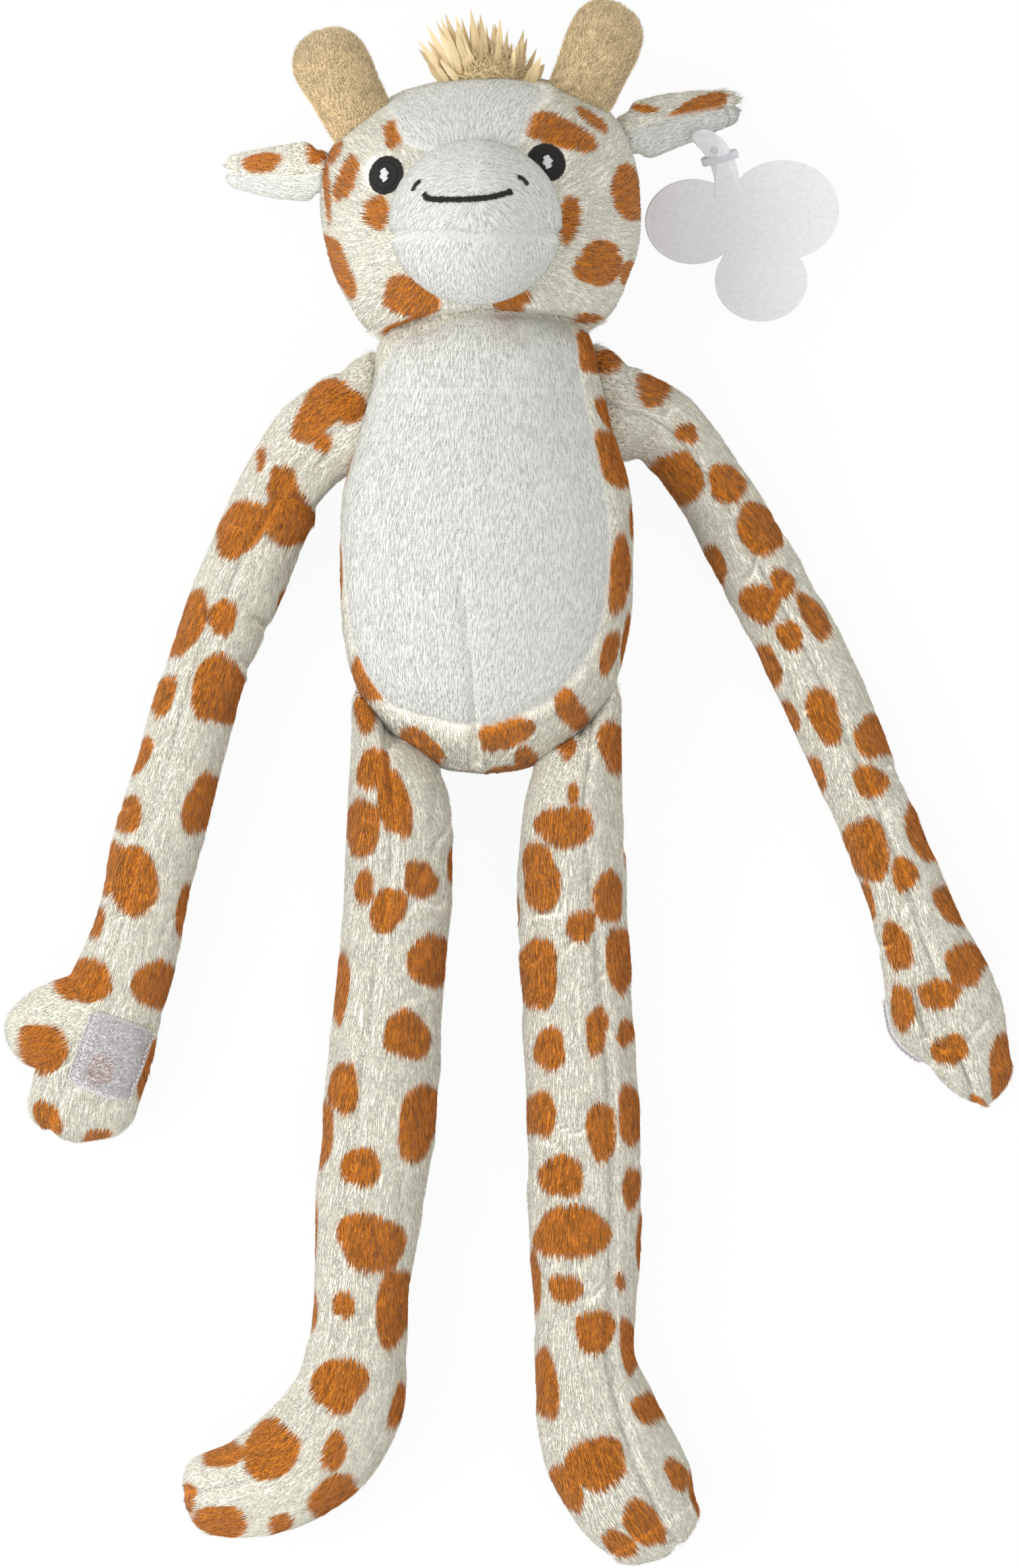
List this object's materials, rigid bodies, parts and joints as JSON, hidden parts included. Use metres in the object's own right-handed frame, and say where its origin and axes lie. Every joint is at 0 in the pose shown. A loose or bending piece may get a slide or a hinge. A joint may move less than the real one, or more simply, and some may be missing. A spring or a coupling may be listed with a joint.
{
  "type": "plush giraffe",
  "caption": "Long-limbed plush giraffe lying on its back, with a belly panel, muzzle, horns, ears, hook-and-loop palm patches and a blank card tag on one ear.",
  "frame": {"origin": "on the flat of the toy's back, under the middle of its torso", "axes": "+X to the giraffe's left hand, +Y to its head, +Z out of its belly"},
  "size_m": [0.3011, 0.4738, 0.1086],
  "materials": {
    "spotted_plush": "short cream pile, printed with caramel giraffe spots",
    "white_plush": "short white pile",
    "tan_plush": "short tan pile",
    "pale_hair": "longer pale locks",
    "black_thread": "satin-stitch embroidery",
    "white_thread": "satin-stitch embroidery",
    "filling": "loose polyester stuffing",
    "hook_tape": "fine woven hooks and loops",
    "card": "stiff matt card, left blank",
    "clear_plastic": "clear moulded fastener"
  },
  "bodies": {
    "torso": {"torso_panel": "spotted_plush", "belly_panel": "white_plush", "torso_stuffing": "filling"},
    "neck": {"neck_wad": "filling"},
    "head": {"head_panel": "spotted_plush", "forehead_panel": "white_plush", "head_stuffing": "filling", "muzzle_upper_panel": "white_plush", "muzzle_lower_panel": "white_plush", "muzzle_stuffing": "filling", "right_eye": "black_thread", "left_eye": "black_thread", "right_eye_highlight": "white_thread", "left_eye_highlight": "white_thread", "right_nostril": "black_thread", "left_nostril": "black_thread", "mouth": "black_thread", "right_horn": "tan_plush", "left_horn": "tan_plush", "hair_tuft": "pale_hair"},
    "right_ear": {"right_ear_leaf": "spotted_plush", "right_ear_lining": "white_plush"},
    "left_ear": {"left_ear_leaf": "spotted_plush", "left_ear_lining": "white_plush"},
    "tag": {"tag_card": "card", "tag_clip": "clear_plastic", "tag_stud": "clear_plastic"},
    "right_shoulder": {"right_arm_root_wad": "filling"},
    "right_arm": {"right_arm_outer_panel": "spotted_plush", "right_arm_inner_panel": "spotted_plush", "right_arm_stuffing": "filling", "hook_patch": "hook_tape"},
    "right_hip": {"right_leg_root_wad": "filling"},
    "right_leg": {"right_leg_outer_panel": "spotted_plush", "right_leg_inner_panel": "spotted_plush", "right_leg_stuffing": "filling"},
    "left_shoulder": {"left_arm_root_wad": "filling"},
    "left_arm": {"left_arm_outer_panel": "spotted_plush", "left_arm_inner_panel": "spotted_plush", "left_arm_stuffing": "filling", "loop_patch": "hook_tape"},
    "left_hip": {"left_leg_root_wad": "filling"},
    "left_leg": {"left_leg_outer_panel": "spotted_plush", "left_leg_inner_panel": "spotted_plush", "left_leg_stuffing": "filling"}
  },
  "joints": [
    {"name": "neck_turn", "type": "hinge", "parent": "torso", "child": "neck", "pos_m": [0.001, 0.0508, 0.032], "axis": [0, 1, 0], "range_deg": [-60, 60]},
    {"name": "head_nod", "type": "hinge", "parent": "neck", "child": "head", "pos_m": [0.001, 0.0508, 0.032], "axis": [1, 0, 0], "range_deg": [0, 22]},
    {"name": "right_shoulder_spread", "type": "hinge", "parent": "torso", "child": "right_shoulder", "pos_m": [-0.0425, 0.04, 0.0215], "axis": [0, 0, -1], "range_deg": [-5, 80]},
    {"name": "right_shoulder_swing", "type": "hinge", "parent": "right_shoulder", "child": "right_arm", "pos_m": [-0.0425, 0.04, 0.0215], "axis": [-0.9373, 0.3486, 0], "range_deg": [0, 35]},
    {"name": "right_hip_spread", "type": "hinge", "parent": "torso", "child": "right_hip", "pos_m": [-0.0282, -0.069, 0.0215], "axis": [0, 0, -1], "range_deg": [-2, 24]},
    {"name": "right_hip_swing", "type": "hinge", "parent": "right_hip", "child": "right_leg", "pos_m": [-0.0282, -0.069, 0.0215], "axis": [-0.9986, 0.0523, 0], "range_deg": [0, 90]},
    {"name": "left_shoulder_spread", "type": "hinge", "parent": "torso", "child": "left_shoulder", "pos_m": [0.042, 0.042, 0.0215], "axis": [0, 0, 1], "range_deg": [-10, 50]},
    {"name": "left_shoulder_swing", "type": "hinge", "parent": "left_shoulder", "child": "left_arm", "pos_m": [0.042, 0.042, 0.0215], "axis": [-0.8878, -0.4602, 0], "range_deg": [0, 35]},
    {"name": "left_hip_spread", "type": "hinge", "parent": "torso", "child": "left_hip", "pos_m": [0.0286, -0.068, 0.0215], "axis": [0, 0, 1], "range_deg": [-2, 30]},
    {"name": "left_hip_swing", "type": "hinge", "parent": "left_hip", "child": "left_leg", "pos_m": [0.0286, -0.068, 0.0215], "axis": [-1, 0, 0], "range_deg": [0, 90]},
    {"name": "right_ear_fold", "type": "hinge", "parent": "head", "child": "right_ear", "pos_m": [-0.05107, 0.1155, 0.034], "axis": [0, 1, 0], "range_deg": [-15, 30]},
    {"name": "left_ear_fold", "type": "hinge", "parent": "head", "child": "left_ear", "pos_m": [0.04444, 0.12716, 0.034], "axis": [0.2756, -0.9613, 0], "range_deg": [-15, 30]},
    {"name": "tag_swing", "type": "hinge", "parent": "left_ear", "child": "tag", "pos_m": [0.0655, 0.127, 0.0308], "axis": [-1, 0, 0], "range_deg": [0, 45]}
  ]
}
